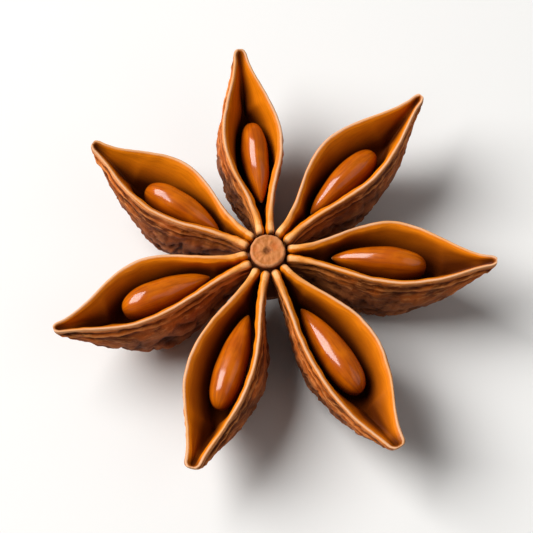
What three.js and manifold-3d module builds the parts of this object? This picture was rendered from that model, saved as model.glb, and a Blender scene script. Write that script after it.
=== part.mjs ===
// A dried star anise fruit: seven open, boat-shaped carpels joined round a short column,
// with one glossy seed lying in each. Millimetres, +Z up. It lies on its keels with its
// mouths up, and the origin is under the middle of the whole fruit, on the surface it rests on.

import * as THREE from "three";
import { mergeVertices } from "three/addons/utils/BufferGeometryUtils.js";
import Module from "manifold-3d";

// ---- Driving dimensions ----

const LIP_HEIGHT = 8.15; // the lips' height over the resting surface, at the column
const LIP_RADIUS = 1.95; // from the column's axis to the ends of the lips
const LIP_HALF_WIDTH = 0.8; // half a carpel's width where its two lips end
const LIP_THICKNESS = 0.64; // the wall's edge at the column, which thins outwards
const RIM_THICKNESS = 0.5; // the wall's edge along the open mouth
const BEAK_THICKNESS = 0.36; // the wall's edge at the beak
const BELLY = 0.45; // how far the sides swell out beyond a plain round section
const BEAK_LIFT = 0.6; // how far the rims curl up at the beak
const NOSE_LENGTH = 0.55; // the stretch over which the beak rounds off
const NOSE_FLAT = 0.4; // the share of the beak's section that is left at its very end
const ROLLED_BY = 0.35; // the share of a carpel's length over which it rolls over
const SIDE_FULLNESS = 0.95; // the power of the sine that the outer section follows: 1 is round
const POCKET_FULLNESS = 0.9; // the same for the seed's pocket
const POCKET_CLEARANCE = 0.6; // from a seed's widest part to its pocket's wall
const POCKET_AT_LIPS = 0.3; // half the pocket's least width, where there is no seed
const POCKET_AT_BEAK = 0.12;
const SHOULDER_DEPTH = 2.4; // how deep the mouth's sloping shoulders go before the pocket's wall
const SLIT_SHARE = 0.42; // the hollow's depth at the column, as a share of the carpel's depth
const HOLLOW_SHARE = 0.8; // and from HOLLOW_FROM on
const GROOVE_SHARE = 0.5; // and at the beak
const HOLLOW_FROM = 0.3;
const LEAST_HALF_SLIT = 0.06; // so that the hollow never closes
const UNDERCUT = 0.3; // how far a pocket may reach out under its rim

const COLUMN_RADIUS = 1.5; // the round button in the middle
const COLUMN_GROOVE = 1.3; // how deep the ring groove between the button and the lips is
const CORE_RADIUS = 3.1; // the solid core that the carpels grow from
const SCAR_RADIUS = 1.55; // the scar of the stalk, underneath
const SCAR_HEIGHT = 1.9; // over the resting surface
const PIT_RADIUS = 0.38; // the dimple in the button
const PIT_DEPTH = 0.2;

const SEED_HEIGHT = 3.5; // a seed stands on edge in its hollow
const SEED_DROP = 2.0; // its middle under the lips' height
const SEED_POINTED = 0.72; // the power by which a seed narrows to its end nearer the column
const SEED_BLUNT = 0.42; // and to its outer end

// Each carpel has its own size, as on the real fruit. bearing is in degrees from +X, reach is
// from the column's axis to the beak, beak is half the beak's width, depth is from the lips down
// to the keel, roll turns the keel to the left seen from the column, rise lifts the beak's end of
// the rims and bend moves the beak to the left. On each side the mouth opens by open, and lips
// and beak say how slowly it widens from each end. A seed's out and left place its middle, and
// turn is its turn to the left.
const CARPELS = [
  {
    bearing: 96.2, reach: 18.0, beak: 0.55, depth: 8.9, roll: 6, rise: 4, bend: 0.45,
    left: { open: 1.95, lips: 2.5, beak: 2.35 },
    right: { open: 1.9, lips: 2.65, beak: 2.25 },
    seed: { length: 7.3, width: 2.3, out: 8.65, left: -0.25, turn: 1 },
  },
  {
    bearing: 147.1, reach: 17.7, beak: 0.55, depth: 8.1, roll: 8, rise: 0, bend: -0.05,
    left: { open: 1.85, lips: 2.2, beak: 1.85 },
    right: { open: 2.55, lips: 2.75, beak: 2.4 },
    seed: { length: 7.3, width: 2.55, out: 8.5, left: -0.12, turn: 2 },
  },
  {
    bearing: 200.6, reach: 19.4, beak: 0.5, depth: 8.4, roll: 8, rise: 0, bend: 0.5,
    left: { open: 1.8, lips: 2.05, beak: 1.65 },
    right: { open: 2.8, lips: 2.4, beak: 2.5 },
    seed: { length: 8.0, width: 2.7, out: 9.1, left: -0.4, turn: 2 },
  },
  {
    bearing: 252.3, reach: 20.4, beak: 0.78, depth: 8.1, roll: 8, rise: -3, bend: -0.2,
    left: { open: 1.55, lips: 2.15, beak: 2.05 },
    right: { open: 2.75, lips: 1.85, beak: 2.0 },
    seed: { length: 8.9, width: 2.7, out: 9.6, left: -0.2, turn: 1 },
  },
  {
    bearing: 302.4, reach: 20.7, beak: 0.8, depth: 8.0, roll: -3, rise: -3, bend: -0.05,
    left: { open: 3.05, lips: 1.85, beak: 2.0 },
    right: { open: 1.6, lips: 1.55, beak: 1.3 },
    seed: { length: 9.1, width: 2.8, out: 9.7, left: 0.25, turn: 1 },
  },
  {
    bearing: 356.9, reach: 19.4, beak: 0.5, depth: 8.4, roll: -8, rise: 0, bend: -0.05,
    left: { open: 2.9, lips: 2.25, beak: 2.35 },
    right: { open: 1.95, lips: 2.1, beak: 1.75 },
    seed: { length: 8.1, width: 2.45, out: 9.4, left: 0.5, turn: -3 },
  },
  {
    bearing: 47.5, reach: 19.2, beak: 0.46, depth: 8.5, roll: -4, rise: 0, bend: -0.15,
    left: { open: 2.75, lips: 2.35, beak: 2.25 },
    right: { open: 1.65, lips: 2.45, beak: 1.95 },
    seed: { length: 7.8, width: 2.45, out: 9.4, left: 0.15, turn: -2 },
  },
];

const STATIONS = 22; // sections along a carpel
const SECTION_STEPS = 10; // steps round each face of a section
const COLUMN_SIDES = 28;
const SEED_SIDES = 14;
const SEED_RINGS = 9;

const HUSK_MATERIAL = new THREE.MeshStandardMaterial({
  name: "husk",
  color: 0x7a3f1c,
  roughness: 0.75,
  metalness: 0,
});
const SEED_MATERIAL = new THREE.MeshStandardMaterial({
  name: "seed",
  color: 0x9c4a10,
  roughness: 0.2,
  metalness: 0,
});

const { sin, cos, tan, abs, sqrt, sign, PI } = Math;
const { clamp, degToRad, lerp, smoothstep } = THREE.MathUtils;

const wasm = await Module();
wasm.setup();

// ---- The carpel's shape, in its own frame: +X outwards from the column's axis, +Y to the left,
// +Z up from the lips' height. t runs from 0 at the lips to 1 at the beak. ----

// How far one side of the mouth has opened: nothing at both ends, and all the way in between.
function opening(side, t) {
  const widest = side.lips / (side.lips + side.beak);
  return side.open * (t / widest) ** side.lips * ((1 - t) / (1 - widest)) ** side.beak;
}

function carpelLength(carpel) {
  return carpel.reach - LIP_RADIUS;
}

// Rounds the last stretch before the beak's end, down to a small flat.
function nose(carpel, t) {
  const left = ((1 - t) * carpelLength(carpel)) / NOSE_LENGTH;
  return left >= 1 ? 1 : lerp(NOSE_FLAT, 1, sqrt(1 - (1 - left) ** 2));
}

function outerHalfWidth(carpel, u, t) {
  const side = u > 0 ? carpel.left : carpel.right;
  return (lerp(LIP_HALF_WIDTH, carpel.beak, t) + opening(side, t)) * nose(carpel, t);
}

function rimThickness(t) {
  return t < 0.5
    ? lerp(LIP_THICKNESS, RIM_THICKNESS, t / 0.5)
    : lerp(RIM_THICKNESS, BEAK_THICKNESS, (t - 0.5) / 0.5);
}

function rimHeight(carpel, t) {
  return tan(degToRad(carpel.rise)) * t * carpelLength(carpel) + BEAK_LIFT * t ** 4;
}

// From the rims down to the keel: deepest a little inside the middle, and shallow at the beak.
function keelDepth(carpel, t) {
  const deepest = 0.42;
  const atLips = 0.66;
  const atBeak = 0.09;
  const share =
    t < deepest
      ? lerp(atLips, 1, sin((PI / 2) * (t / deepest)))
      : 1 - (1 - atBeak) * ((t - deepest) / (1 - deepest)) ** 1.4;
  return carpel.depth * share * nose(carpel, t);
}

function hollowDepth(carpel, t) {
  const beyond = (t - HOLLOW_FROM) / (1 - HOLLOW_FROM);
  const share =
    beyond < 0
      ? lerp(SLIT_SHARE, HOLLOW_SHARE, smoothstep(t, 0, HOLLOW_FROM))
      : lerp(HOLLOW_SHARE, GROOVE_SHARE, beyond ** 2.5);
  return keelDepth(carpel, t) * share;
}

// A seed's girth, from 0 at both ends to 1, with along from -1 at its end nearer the column.
function seedGirth(along) {
  const girth = (a) => (1 + a) ** SEED_POINTED * (1 - a) ** SEED_BLUNT;
  return girth(along) / girth((SEED_POINTED - SEED_BLUNT) / (SEED_POINTED + SEED_BLUNT));
}

// Half the width of the seed's pocket on one side of the carpel's middle.
function pocketHalfWidth(carpel, u, t) {
  const { seed } = carpel;
  const beyond = lerp(LIP_RADIUS, carpel.reach, t) - seed.out;
  const seedT = (seed.out - LIP_RADIUS) / carpelLength(carpel);
  const axis = seed.left + beyond * tan(degToRad(seed.turn)) + carpel.bend * (seedT ** 2 - t ** 2);
  const along = clamp(beyond / (seed.length / 2 + POCKET_CLEARANCE), -1, 1);
  const girth = (seed.width / 2 + POCKET_CLEARANCE) * seedGirth(along);
  const least = lerp(POCKET_AT_LIPS, POCKET_AT_BEAK, t);
  return Math.max(girth + sign(u) * axis * sqrt(1 - along ** 8), least);
}

// A point of the wall's outer or inner face. u runs from -1 at the right rim, by 0 at the keel
// or the hollow's floor, to 1 at the left rim. Inside, the mouth's shoulders slope down to a
// pocket that lies close round the seed.
function wallPoint(carpel, t, u, inner) {
  const turn = (abs(u) * PI) / 2;
  const outer = outerHalfWidth(carpel, u, t);
  const swell = BELLY * sin(PI * t);
  const down = (inner ? hollowDepth(carpel, t) : keelDepth(carpel, t)) * cos(turn);
  let across = outer * sin(turn) ** SIDE_FULLNESS + swell * sin(2 * turn);
  if (inner) {
    const mouth = Math.max(outer - rimThickness(t), LEAST_HALF_SLIT);
    const pocket = Math.min(pocketHalfWidth(carpel, u, t), mouth + UNDERCUT * sin(PI * t));
    const shoulder = Math.max(1 - down / SHOULDER_DEPTH, 0) ** 2;
    across = pocket * sin(turn) ** POCKET_FULLNESS + (mouth - pocket) * shoulder;
  }
  const roll = degToRad(carpel.roll) * smoothstep(t, 0, ROLLED_BY);
  return new THREE.Vector3(
    lerp(LIP_RADIUS, carpel.reach, t),
    sign(u) * across * cos(roll) + down * sin(roll) + carpel.bend * t * t,
    rimHeight(carpel, t) + sign(u) * across * sin(roll) - down * cos(roll),
  );
}

// One section, as a closed outline: down the outer face from the left rim and up to the right
// rim, then back along the inner face.
function section(carpel, t) {
  const outline = [];
  for (let i = 0; i <= SECTION_STEPS; i++) {
    outline.push(wallPoint(carpel, t, 1 - (2 * i) / SECTION_STEPS, false));
  }
  for (let i = 0; i <= SECTION_STEPS; i++) {
    outline.push(wallPoint(carpel, t, (2 * i) / SECTION_STEPS - 1, true));
  }
  return outline;
}

// Joins a row of such sections into one closed body. Each end is closed by a strip from the
// outer face to the inner one.
function loft(sections) {
  const around = sections[0].length;
  const last = sections.length - 1;
  const index = [];
  const quad = (a, b, c, d) => index.push(a, c, b, a, d, c);
  for (let s = 0; s < last; s++) {
    for (let i = 0; i < around; i++) {
      const j = (i + 1) % around;
      quad(s * around + i, s * around + j, (s + 1) * around + j, (s + 1) * around + i);
    }
  }
  for (let i = 0; i < around / 2 - 1; i++) {
    const k = around - 1 - i;
    quad(i, k, k - 1, i + 1);
    quad(last * around + i, last * around + i + 1, last * around + k - 1, last * around + k);
  }
  const geometry = new THREE.BufferGeometry().setFromPoints(sections.flat());
  geometry.setIndex(index);
  return geometry;
}

function carpelGeometry(carpel) {
  const sections = [];
  for (let s = 0; s < STATIONS; s++) {
    // The sections crowd towards the beak, where the outline turns fastest.
    sections.push(section(carpel, sin(((s / (STATIONS - 1)) * PI) / 2) ** 1.1));
  }
  return loft(sections);
}

// ---- The column, with the core that the carpels grow from and the stalk's scar ----

function columnGeometry() {
  const top = LIP_HEIGHT + 0.05;
  const grooveFloor = LIP_HEIGHT - COLUMN_GROOVE;
  const bevel = 0.25;
  const profile = [
    [0, SCAR_HEIGHT + 0.25],
    [SCAR_RADIUS - 0.35, SCAR_HEIGHT],
    [SCAR_RADIUS, SCAR_HEIGHT + 0.3],
    [SCAR_RADIUS + 0.1, SCAR_HEIGHT + 0.8],
    [CORE_RADIUS - 0.3, SCAR_HEIGHT + 1.3],
    [CORE_RADIUS, SCAR_HEIGHT + 1.9],
    [CORE_RADIUS, grooveFloor - 1.2],
    [CORE_RADIUS - 0.3, grooveFloor],
    [COLUMN_RADIUS, grooveFloor],
    [COLUMN_RADIUS, top - bevel],
    [COLUMN_RADIUS - bevel, top],
    [PIT_RADIUS, top],
    [0, top - PIT_DEPTH],
  ];
  const points = profile.map(([radius, height]) => new THREE.Vector2(radius, height));
  return new THREE.LatheGeometry(points, COLUMN_SIDES).rotateX(PI / 2);
}

// ---- Solids ----

function solid(geometry) {
  const bare = geometry.clone();
  bare.deleteAttribute("normal");
  bare.deleteAttribute("uv");
  const merged = mergeVertices(bare, 1e-4);
  return new wasm.Manifold(
    new wasm.Mesh({
      numProp: 3,
      vertProperties: merged.attributes.position.array,
      triVerts: new Uint32Array(merged.index.array),
    }),
  );
}

function geometryOf(manifold) {
  const { vertProperties, triVerts } = manifold.getMesh();
  const geometry = new THREE.BufferGeometry();
  geometry.setAttribute("position", new THREE.BufferAttribute(vertProperties, 3));
  geometry.setIndex(new THREE.BufferAttribute(triVerts, 1));
  return geometry;
}

// The husk is one piece: column and carpels together, with the keels worn flat where they rest.
function huskGeometry() {
  let husk = solid(columnGeometry());
  for (const carpel of CARPELS) {
    const placed = carpelGeometry(carpel).rotateZ(degToRad(carpel.bearing)).translate(0, 0, LIP_HEIGHT);
    husk = husk.add(solid(placed));
  }
  const ground = new THREE.BoxGeometry(60, 60, 10).translate(0, 0, -5);
  return geometryOf(husk.subtract(solid(ground)));
}

// A seed, long in X: drop-shaped, flattened from side to side, and slimmer towards the column.
function seedGeometry(seed) {
  const geometry = new THREE.SphereGeometry(1, SEED_SIDES, SEED_RINGS).rotateZ(PI / 2);
  const place = geometry.attributes.position;
  for (let i = 0; i < place.count; i++) {
    const along = clamp(place.getX(i), -1, 1);
    const round = sqrt(1 - along ** 2);
    const girth = round < 1e-6 ? 0 : seedGirth(along) / round;
    place.setXYZ(
      i,
      (along * seed.length) / 2,
      (place.getY(i) * girth * seed.width) / 2,
      (place.getZ(i) * girth * SEED_HEIGHT) / 2,
    );
  }
  return geometry;
}

// ---- The fruit ----

const fruit = new THREE.Group();
const husk = new THREE.Mesh(huskGeometry(), HUSK_MATERIAL);
husk.name = "husk";
fruit.add(husk);

CARPELS.forEach((carpel, i) => {
  const { seed } = carpel;
  const seat = new THREE.Group();
  seat.rotation.z = degToRad(carpel.bearing);
  seat.position.z = LIP_HEIGHT;
  const mesh = new THREE.Mesh(seedGeometry(seed), SEED_MATERIAL);
  mesh.name = `seed_${i + 1}`;
  const roll = degToRad(carpel.roll);
  const t = (seed.out - LIP_RADIUS) / carpelLength(carpel);
  mesh.position.set(
    seed.out,
    seed.left + SEED_DROP * sin(roll) + carpel.bend * t * t,
    rimHeight(carpel, t) - SEED_DROP * cos(roll),
  );
  mesh.rotation.set(roll, 0, degToRad(seed.turn), "ZYX");
  seat.add(mesh);
  fruit.add(seat);
});

// The origin goes under the middle of the whole fruit.
const middle = new THREE.Box3().setFromObject(fruit).getCenter(new THREE.Vector3());
fruit.position.set(-middle.x, -middle.y, 0);

const part = new THREE.Group();
part.add(fruit);

export default part;
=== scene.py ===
"""A dried star anise fruit: seven open, boat-shaped carpels round a short column, a seed in each.

The carpels' sizes are in millimetres and the finished meshes in metres, +Z up.
"""

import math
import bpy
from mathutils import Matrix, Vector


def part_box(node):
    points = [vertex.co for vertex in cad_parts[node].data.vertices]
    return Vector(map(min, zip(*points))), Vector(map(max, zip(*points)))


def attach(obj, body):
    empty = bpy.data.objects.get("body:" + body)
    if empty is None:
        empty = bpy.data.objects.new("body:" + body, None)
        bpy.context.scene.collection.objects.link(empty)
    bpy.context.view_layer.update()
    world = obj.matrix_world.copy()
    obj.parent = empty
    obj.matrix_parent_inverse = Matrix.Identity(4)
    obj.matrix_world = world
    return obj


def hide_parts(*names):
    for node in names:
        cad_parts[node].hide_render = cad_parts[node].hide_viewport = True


bl_info = {
    "name": "Star Anise",
    "version": (1, 0, 0),
    "blender": (4, 5, 0),
    "location": "View3D > Sidebar > Star Anise",
    "description": "Builds a dried star anise fruit with its seeds, on a pale floor in soft light",
    "category": "Add Mesh",
}

import bpy
import numpy as np
from mathutils import Matrix, Vector, noise

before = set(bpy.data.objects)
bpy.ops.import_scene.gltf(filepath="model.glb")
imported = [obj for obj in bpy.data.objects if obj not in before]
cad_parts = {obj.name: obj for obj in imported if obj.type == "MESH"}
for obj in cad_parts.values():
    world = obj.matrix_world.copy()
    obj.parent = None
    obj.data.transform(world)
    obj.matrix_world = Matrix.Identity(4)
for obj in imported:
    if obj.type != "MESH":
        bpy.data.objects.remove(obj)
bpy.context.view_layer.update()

MM = 0.001

# ---- The fruit's driving sizes, in millimetres ----

LIP_HEIGHT = 8.15  # the lips' height over the floor, at the column
LIP_RADIUS = 1.95  # from the column's axis to the ends of the lips
LIP_HALF_WIDTH = 0.8  # half a carpel's width where its two lips end
LIP_THICKNESS = 0.64  # the wall's edge at the column, which thins outwards
RIM_THICKNESS = 0.5  # the wall's edge along the open mouth
BEAK_THICKNESS = 0.36  # the wall's edge at the beak
BELLY = 0.45  # how far the flanks swell out beyond a plain round section
BEAK_LIFT = 0.6  # how far the rims curl up at the beak
NOSE_LENGTH = 0.55  # the stretch over which the beak rounds off
NOSE_FLAT = 0.4  # the share of the beak's section that is left at its very end
ROLLED_BY = 0.35  # the share of a carpel's length over which it rolls over
SIDE_FULLNESS = 0.95  # the power of the sine that the outer section follows: 1 is round
POCKET_FULLNESS = 0.9  # the same for the seed's pocket
POCKET_CLEARANCE = 0.5  # from a seed's widest part to its pocket's wall
POCKET_AT_LIPS = 0.3  # half the pocket's least width, where there is no seed
POCKET_AT_BEAK = 0.1
POCKET_BEYOND = 1.3  # how far it goes on beyond the seed's outer end
POCKET_BLUNT = 0.6  # the power by which it narrows there
POCKET_TAIL = 0.25  # its width from there on, as a share of the seed's
POCKET_BLEND = 0.35  # how softly its parts run into each other
SHOULDER_DEPTH = 2.3  # how deep the mouth's sloping shoulders go
SHOULDER_POWER = 1.3  # how fast they get steeper on their way down
# How deep the hollow is, as a share of the depth to the keel: at the lips, from HOLLOW_FROM on
# and at the beak.
SLIT_SHARE = 0.42
HOLLOW_SHARE = 0.8
GROOVE_SHARE = 0.36
HOLLOW_FROM = 0.3
LEAST_HALF_SLIT = 0.06  # so that the hollow never closes
UNDERCUT = 0.3  # how far a pocket may reach out under its rim
LIP_OVERHANG = 0.28  # how far the lips reach in over LIP_RADIUS
BEAK_RIM = 0.18  # how thick the beak's rim is at its very end
SLOT_END = 0.3  # the stretch over which the slot opens from there

BUTTON_RADIUS = 1.5  # the round button on top of the column
BUTTON_TOP = LIP_HEIGHT + 0.05
GROOVE_DEPTH = 1.3  # how deep the ring groove between the button and the lips is
GROOVE_FLOOR = LIP_HEIGHT - GROOVE_DEPTH
CORE_RADIUS = 3.1  # the solid core that the carpels grow from
SCAR_RADIUS = 1.55  # the scar of the stalk, underneath
SCAR_HEIGHT = 1.9  # over the floor
PIT_RADIUS = 0.38  # the dimple in the button
PIT_DEPTH = 0.25

SEED_HEIGHT = 3.5  # a seed stands on edge in its hollow
SEED_DROP = 2.0  # from the rims down to a seed's middle
SEED_POINTED = 0.72  # how fast a seed narrows to its end by the column
SEED_BLUNT = 0.42  # and to its outer end
SEED_SQUARE = 0.86  # 1 for an elliptic section, less for a squarer one

# Each carpel's own size, anticlockwise from the one at the back. bearing is in degrees from +X,
# reach is from the column's axis to the beak, beak is half the beak's width, depth is from the
# lips down to the keel, roll turns the keel to the left seen from the column, rise lifts the
# beak's end of the rims and bend moves the beak to the left. The last two numbers on each first
# line set the painted shade in its lining: how much it gets just below the rim, and how fast it
# grows further down. On each side the mouth opens by open, and lips and beak say how slowly it
# widens from each end. A seed's out and left place its middle, and turn is its turn to the left.
CARPELS = [
    dict(
        bearing=96.2, reach=18.0, beak=0.55, depth=8.9, roll=6, rise=4, bend=0.45, shade_start=-0.2, shade_rate=0.8,
        left=dict(open=1.95, lips=2.5, beak=2.35),
        right=dict(open=1.9, lips=2.65, beak=2.25),
        seed=dict(length=7.3, width=2.3, out=8.65, left=-0.25, turn=1),
    ),
    dict(
        bearing=147.1, reach=17.7, beak=0.55, depth=8.1, roll=8, rise=0, bend=-0.05, shade_start=-0.1, shade_rate=1,
        left=dict(open=1.85, lips=2.2, beak=1.85),
        right=dict(open=2.55, lips=2.75, beak=2.4),
        seed=dict(length=7.3, width=2.55, out=8.5, left=-0.12, turn=2),
    ),
    dict(
        bearing=200.6, reach=19.4, beak=0.5, depth=8.4, roll=8, rise=0, bend=0.5, shade_start=0.05, shade_rate=1,
        left=dict(open=1.8, lips=2.05, beak=1.65),
        right=dict(open=2.8, lips=2.4, beak=2.5),
        seed=dict(length=8.0, width=2.7, out=9.1, left=-0.4, turn=2),
    ),
    dict(
        bearing=252.3, reach=20.4, beak=0.78, depth=8.1, roll=8, rise=-3, bend=-0.2, shade_start=0.3, shade_rate=1,
        left=dict(open=1.55, lips=2.15, beak=2.05),
        right=dict(open=2.75, lips=1.85, beak=2.0),
        seed=dict(length=8.9, width=2.7, out=9.6, left=-0.2, turn=1),
    ),
    dict(
        bearing=302.4, reach=20.7, beak=0.8, depth=8.0, roll=-3, rise=-3, bend=-0.05, shade_start=0.25, shade_rate=1,
        left=dict(open=3.05, lips=1.85, beak=2.0),
        right=dict(open=1.6, lips=1.55, beak=1.3),
        seed=dict(length=9.1, width=2.8, out=9.7, left=0.25, turn=1),
    ),
    dict(
        bearing=356.9, reach=19.4, beak=0.5, depth=8.4, roll=-8, rise=0, bend=-0.05, shade_start=0.7, shade_rate=0.7,
        left=dict(open=2.9, lips=2.25, beak=2.35),
        right=dict(open=1.95, lips=2.1, beak=1.75),
        seed=dict(length=8.1, width=2.45, out=9.4, left=0.5, turn=-3),
    ),
    dict(
        bearing=47.5, reach=19.2, beak=0.46, depth=8.5, roll=-4, rise=0, bend=-0.15, shade_start=0.1, shade_rate=1,
        left=dict(open=2.75, lips=2.35, beak=2.25),
        right=dict(open=1.65, lips=2.45, beak=1.95),
        seed=dict(length=7.8, width=2.45, out=9.4, left=0.15, turn=-2),
    ),
]

# ---- How fine the meshes are ----

MIDDLE_STATIONS = 84  # sections along a carpel, besides those near its ends
END_STATIONS = 9  # sections over each end's last END_LENGTH
END_LENGTH = 0.6
OUTER_STEPS = 72  # steps round the outer face of a section
INNER_STEPS = 28  # and round the inner face
CROWN_STEPS = 8  # and over the edge between them
COLUMN_SIDES = 96
COLUMN_STEP = 0.1  # the longest straight stretch of the column's outline
SEED_SIDES = 48
SEED_RINGS = 72

# The columns of a section's points that lie on its outer face and in its hollow.
OUTER = slice(0, OUTER_STEPS + 1)
HOLLOW = slice(OUTER_STEPS + CROWN_STEPS, OUTER_STEPS + CROWN_STEPS + INNER_STEPS + 1)

SKIN, LINING, COLUMN = 0, 1, 2  # the husk's material slots

# ---- Where the lamps stand and what they point at, in metres ----

KEY_PLACE = (-0.34, 0.1, 0.4)
FILL_PLACE = (0.36, -0.12, 0.36)
LIGHT_TARGET = Vector((0, 0, 0.006))


# ---- The carpel's form. Its own frame has +X outwards from the column's axis, +Y to the left and
# +Z up from the lips' height. t runs from 0 at the lips to 1 at the beak. ----


def lerp(a, b, x):
    return a + (b - a) * x


def smoothstep(x, low, high):
    x = np.clip((x - low) / (high - low), 0, 1)
    return x * x * (3 - 2 * x)


def round_end(distance, length, least):
    """Grows from least at an end to 1 at length from it, along a quarter circle."""
    gone = 1 - np.clip(distance / length, 0, 1)
    return lerp(least, 1, np.sqrt(1 - gone**2))


def soft_max(a, b, blend):
    """The greater of two values, with the step from one to the other rounded off."""
    return (a + b + np.sqrt((a - b) ** 2 + blend**2)) / 2


def hump(x, middle, width):
    """1 at the middle, and next to nothing from twice the width on."""
    return np.exp(-(((x - middle) / width) ** 2))


def carpel_length(carpel):
    return carpel["reach"] - LIP_RADIUS


def opening(side, t):
    """How far one side of the mouth has opened."""
    widest = side["lips"] / (side["lips"] + side["beak"])
    t = np.maximum(t, 0)
    return side["open"] * (t / widest) ** side["lips"] * ((1 - t) / (1 - widest)) ** side["beak"]


def nose(carpel, t):
    """Rounds the last stretch before the beak's end, down to a small flat."""
    return round_end((1 - t) * carpel_length(carpel), NOSE_LENGTH, NOSE_FLAT)


def half_width(carpel, side, t):
    """From the middle out to the edge of one side."""
    return (lerp(LIP_HALF_WIDTH, carpel["beak"], t) + opening(side, t)) * nose(carpel, t)


def rim_thickness(t):
    return np.interp(t, [0, 0.5, 1], [LIP_THICKNESS, RIM_THICKNESS, BEAK_THICKNESS])


def rim_height(carpel, t):
    return math.tan(math.radians(carpel["rise"])) * t * carpel_length(carpel) + BEAK_LIFT * t**4


def keel_depth(carpel, t):
    """From the rims down to the keel: deepest a little inside the middle, shallow at the beak."""
    deepest, at_lips, at_beak = 0.42, 0.66, 0.09
    inside = lerp(at_lips, 1, np.sin(np.pi / 2 * np.minimum(t / deepest, 1)))
    beyond = np.clip((t - deepest) / (1 - deepest), 0, 1)
    return carpel["depth"] * inside * (1 - (1 - at_beak) * beyond**1.4) * nose(carpel, t)


def hollow_depth(carpel, t):
    """From the rims down to the hollow's floor: shallow at the lips and towards the beak."""
    towards_lips = lerp(SLIT_SHARE, HOLLOW_SHARE, smoothstep(t, 0, HOLLOW_FROM))
    beyond = np.clip((t - HOLLOW_FROM) / (1 - HOLLOW_FROM), 0, 1)
    towards_beak = lerp(HOLLOW_SHARE, GROOVE_SHARE, beyond**1.6)
    return keel_depth(carpel, t) * np.where(t < HOLLOW_FROM, towards_lips, towards_beak)


def drop(along, pointed, blunt):
    """A drop's girth, from 0 at its ends to 1, with along from -1 at its pointed end."""
    widest = (pointed - blunt) / (pointed + blunt)
    return ((1 + along) / (1 + widest)) ** pointed * ((1 - along) / (1 - widest)) ** blunt


def pocket_half_width(carpel, side, t):
    """Half the width of the seed's pocket, to the left where side is 1 and to the right at -1."""
    seed = carpel["seed"]
    beyond = lerp(LIP_RADIUS, carpel["reach"], t) - seed["out"]
    seed_t = (seed["out"] - LIP_RADIUS) / carpel_length(carpel)
    axis = seed["left"] + beyond * math.tan(math.radians(seed["turn"]))
    axis = axis + carpel["bend"] * (seed_t**2 - t**2)
    half_length = seed["length"] / 2 + np.where(beyond > 0, POCKET_BEYOND, POCKET_CLEARANCE)
    along = np.clip(beyond / half_length, -1, 1)
    girth = (seed["width"] / 2 + POCKET_CLEARANCE) * drop(along, SEED_POINTED, POCKET_BLUNT)
    left_over = np.clip(1 - beyond / (carpel["reach"] - seed["out"]), 0, 1)
    tail = POCKET_TAIL * seed["width"] / 2 * left_over**1.8 * smoothstep(beyond, 0, 1)
    least = lerp(POCKET_AT_LIPS, POCKET_AT_BEAK, t) + tail
    return soft_max(girth + side * axis * np.sqrt(1 - along**8), least, POCKET_BLEND)


def in_carpel(carpel, t, across, down):
    """Points across to the left and down from the rims, in the carpel's own frame."""
    roll = math.radians(carpel["roll"]) * smoothstep(t, 0, ROLLED_BY)
    x = lerp(LIP_RADIUS, carpel["reach"], t) + 0 * across
    y = across * np.cos(roll) + down * np.sin(roll) + carpel["bend"] * t**2
    z = rim_height(carpel, t) + across * np.sin(roll) - down * np.cos(roll)
    return np.stack([x, y, z], axis=-1)


def noise_at(*place):
    """Smooth noise from about -1 to 1 at places given by three arrays."""
    places = np.stack(np.broadcast_arrays(*place), axis=-1)
    found = [noise.noise(p) for p in places.reshape(-1, 3).tolist()]
    return np.array(found).reshape(places.shape[:-1])


def ridges(values, width):
    """1 where the values cross zero, falling to 0 at width on either side."""
    return np.clip(1 - np.abs(values) / width, 0, 1) ** 2


def stations(carpel):
    """Where the sections stand, from 0 at the lips to 1 at the beak, closer near the ends."""
    length = carpel_length(carpel)
    end = END_LENGTH * (1 - np.cos(np.linspace(0, np.pi / 2, END_STATIONS, endpoint=False)))
    middle = np.linspace(END_LENGTH - LIP_OVERHANG, length - END_LENGTH, MIDDLE_STATIONS)
    return np.concatenate([end - LIP_OVERHANG, middle, length - end[::-1]])[:, None] / length


def slot_share(carpel, t):
    """0 where the beak's end is closed, and 1 where the hollow is all open."""
    return round_end((1 - t) * carpel_length(carpel) - BEAK_RIM, SLOT_END, 0)


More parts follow.
